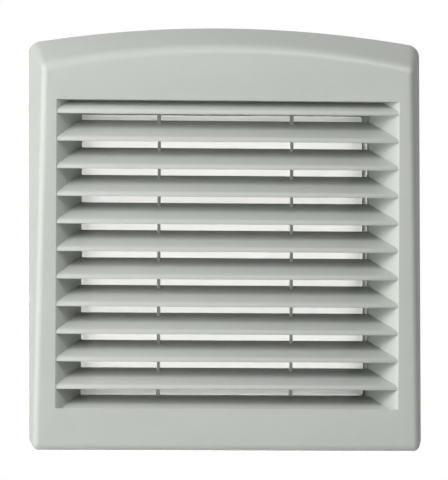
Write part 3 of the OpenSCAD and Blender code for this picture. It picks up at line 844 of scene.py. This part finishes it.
def fleece():
    """White bonded fibres that let light through, with painted light near the edges, where more comes
    through.
    """
    cloth = Finish("white_fleece")
    fibres = [cloth.noise(0.9, 4, 0.65, stretch) for stretch in ((0.18, 1, 1), (1, 1, 0.18))]
    web = fibres[0] * 0.5 + fibres[1] * 0.5
    clumps = cloth.noise(7, 2, 0.5)
    colour = cloth.mix(cloth.ramp(web + clumps * 0.4, 0.45, 0.95), tone(250, 250, 248), tone(236, 236, 232))
    relief = cloth.bump(web, 0.5, 0.3)
    solid = cloth.add("ShaderNodeBsdfPrincipled", {}, {
        "Base Color": colour, "Roughness": 0.9, "Normal": relief, "Sheen Weight": 0.25,
        "Specular IOR Level": 0.15})
    through = cloth.add("ShaderNodeBsdfTranslucent", {}, {"Color": tone(252, 252, 250)})
    # Painted light: towards the edges the mix lets more light through, making up for the shade that falls on
    # the mat's edges in the tray.
    across, upwards = [abs(cloth.add("ShaderNodeSeparateXYZ", {}, {"Vector": cloth.place}, out=axis))
                       for axis in "XZ"]
    painted_side_light = cloth.ramp(across, *PAINTED_EDGE_LIGHT_SIDES)
    painted_edge_light = painted_side_light + cloth.ramp(upwards, *PAINTED_EDGE_LIGHT_ENDS) * (1 - painted_side_light)
    return cloth.finish(cloth.add("ShaderNodeMixShader", {}, {0: 0.88 + painted_edge_light * 0.1, 1: solid, 2: through}))


wear(mat_piece, fleece())
print("fleece:", len(mat_piece.data.materials[0].node_tree.nodes), "nodes")

# %% [markdown]
# The gasket is black foam with closed cells, which a Voronoi pattern gives
# as a relief. The pins and the springs are drawn steel. Drawing leaves fine
# lines along the metal, and noise that is stretched one way reads as such
# lines. On the coils no one direction is right, so theirs isn't stretched.

# %% Foam and steel
def foam():
    """Black closed-cell foam, with its cells as a relief."""
    seal = Finish("black_foam")
    cells = seal.add("ShaderNodeTexVoronoi", {}, {"Vector": seal.place, "Scale": 1 / (0.7 * MM)})
    patches = seal.noise(5, 2, 0.5)
    colour = seal.mix(patches, tone(28, 28, 29), tone(46, 46, 47))
    return seal.finish(seal.add("ShaderNodeBsdfPrincipled", {}, {
        "Base Color": colour, "Roughness": 0.75 + cells * 0.2, "Normal": seal.bump(cells, 0.6, 0.25)}))


def drawn_steel(name, shade, stretch):
    """Steel wire or rod, with fine lines along the way that a stretch gives."""
    wire = Finish(name)
    lines = wire.noise(0.25, 3, 0.6, stretch)
    haze = wire.noise(3, 2, 0.5)
    colour = wire.mix(haze, tone(shade, shade, shade + 2), tone(shade - 26, shade - 26, shade - 26))
    return wire.finish(wire.add("ShaderNodeBsdfPrincipled", {}, {
        "Base Color": colour, "Metallic": 1.0, "Roughness": 0.28 + lines * 0.2,
        "Normal": wire.bump(lines, 0.25, 0.02)}))


wear(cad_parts["panel_gasket"], foam())
hinge_steel = drawn_steel("hinge_pin_steel", 196, (0.08, 1, 1))
clip_steel = drawn_steel("clip_pin_steel", 196, (1, 1, 0.08))
for name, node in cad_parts.items():
    if name.startswith("hinge_pin"):
        wear(node, hinge_steel)
    if name.startswith("clip_pin"):
        wear(node, clip_steel)
spring_steel = drawn_steel("spring_steel", 186, (1, 1, 1))
for coil in springs:
    wear(coil, spring_steel)
print(len(bpy.data.materials), "materials")

# %% [markdown]
# ## Studio
# The photograph is a catalogue cut-out on white, taken with a long lens from
# a little to the left of the grille and a little below its middle. The light
# comes from the left: left-hand walls inside the window are dark, right-hand
# ones bright, and the cover's right slope is in shade. The cover's height in
# the picture fixes the lens. How far its rim and its face have shifted
# against each other fixes the camera's turn.

# %% Camera
YAW, PITCH_ANGLE, ROLL = radians(-6.724), radians(-4.412), radians(-0.151)
DISTANCE, FOCAL_PIXELS, LONG_SIDE = 5000.0, 7949.8, 480
AIM = Vector((-1.435, -10.0, 8.571))

back = Vector((sin(YAW) * cos(PITCH_ANGLE), -cos(YAW) * cos(PITCH_ANGLE), sin(PITCH_ANGLE)))
right = (-back).cross(Vector((0, 0, 1))).normalized()
up = right.cross(-back)
right, up = right * cos(ROLL) + up * sin(ROLL), up * cos(ROLL) - right * sin(ROLL)
lens = bpy.data.cameras.new("camera")
lens.sensor_width = 36
lens.lens = FOCAL_PIXELS / LONG_SIDE * lens.sensor_width
camera = bpy.data.objects.new("camera", lens)
bpy.context.scene.collection.objects.link(camera)
turn = Matrix((right, up, back)).transposed().to_4x4()
camera.matrix_world = Matrix.Translation((AIM + back * DISTANCE) * MM) @ turn
bpy.context.scene.camera = camera
print("camera", [round(c, 3) for c in camera.location], "lens", round(lens.lens, 1), "mm")

# %% [markdown]
# Two soft lamps on the left give the main light. One at the upper right and
# a faint one above bring out the arched fold. One behind shines through the
# mat, and the mat is hidden from diffuse and glossy rays, so that its light
# stays off the louvres.

# %% Lamps
def lamp(name, direction, distance, wide, high, watts):
    """A soft box that faces the grille."""
    light = bpy.data.lights.new(name, "AREA")
    light.shape, light.size, light.size_y, light.energy = "RECTANGLE", wide, high, watts
    obj = bpy.data.objects.new(name, light)
    bpy.context.scene.collection.objects.link(obj)
    way = Vector(direction).normalized()
    obj.location = way * distance
    obj.rotation_euler = way.to_track_quat("Z", "Y").to_euler()
    return obj


lamp("top", (0.05, -0.36, 0.93), 1.5, 0.8, 0.5, 1.2)
lamp("upper_right", (0.27, -0.68, 0.68), 1.6, 0.7, 0.5, 7.4)
lamp("upper_left", (-0.62, -0.68, 0.40), 1.4, 0.7, 0.6, 10.6)
lamp("left", (-0.94, -0.34, 0.03), 1.4, 0.9, 1.5, 13)
back_light = lamp("back", (0, 1, -0.10), 1.3, 0.9, 0.9, 17.5)
back_light.visible_camera = False
mat_piece.visible_diffuse = False
mat_piece.visible_glossy = False
print("lamps:", [light.name for light in bpy.data.lights])

# %% [markdown]
# The world is white where the camera looks and where it is seen through
# something, dimmer in reflections, and faint as a light. The floor is pale
# and does the same in part, so that it still keeps the object's shadow. It
# lies far enough down for the camera to stand above it.

# %% World and floor
FAINT, REFLECTED, SHOWN_WHITE, FLOOR_Z = 0.04, 0.45, 0.75, -0.5


def studio_world(level, reflected):
    """A white world with its own strength for each kind of ray."""
    world = bpy.data.worlds.new("studio")
    bpy.context.scene.world = world
    world.use_nodes = True
    tree = world.node_tree
    tree.nodes.clear()
    path = tree.nodes.new("ShaderNodeLightPath")
    shade = tree.nodes.new("ShaderNodeBackground")
    out = tree.nodes.new("ShaderNodeOutputWorld")
    strength = None
    for ray, value in (("Glossy", reflected), ("Transmission", 1.0), ("Camera", 1.0)):
        choice = tree.nodes.new("ShaderNodeMix")
        tree.links.new(path.outputs[f"Is {ray} Ray"], choice.inputs[0])
        choice.inputs[2].default_value = level
        if strength:
            tree.links.new(strength, choice.inputs[2])
        choice.inputs[3].default_value = value
        strength = choice.outputs[0]
    tree.links.new(strength, shade.inputs["Strength"])
    tree.links.new(shade.outputs[0], out.inputs["Surface"])
    shade.inputs["Color"].default_value = (1, 1, 1, 1)


studio_world(FAINT, REFLECTED)
bpy.context.scene.view_settings.view_transform = "Standard"

clear_selection()
bpy.ops.mesh.primitive_plane_add(size=6, location=(0, 0, FLOOR_Z))
floor = bpy.context.object
floor.name = "floor"
pale = Finish("pale_floor")
mottle = pale.noise(120, 2, 0.5)
shaded = pale.add("ShaderNodeBsdfPrincipled", {}, {
    "Base Color": pale.mix(mottle, tone(244, 244, 243), tone(248, 248, 248)), "Roughness": 0.7})
white = pale.add("ShaderNodeEmission", {}, {"Color": tone(250, 250, 250)})
seen, mirrored, through = [pale.add("ShaderNodeLightPath", out=f"Is {ray} Ray")
                           for ray in ("Camera", "Glossy", "Transmission")]
whiteness = (seen + mirrored * REFLECTED + through) * SHOWN_WHITE
wear(floor, pale.finish(pale.add("ShaderNodeMixShader", {}, {0: whiteness, 1: shaded, 2: white})))
print("studio ready")
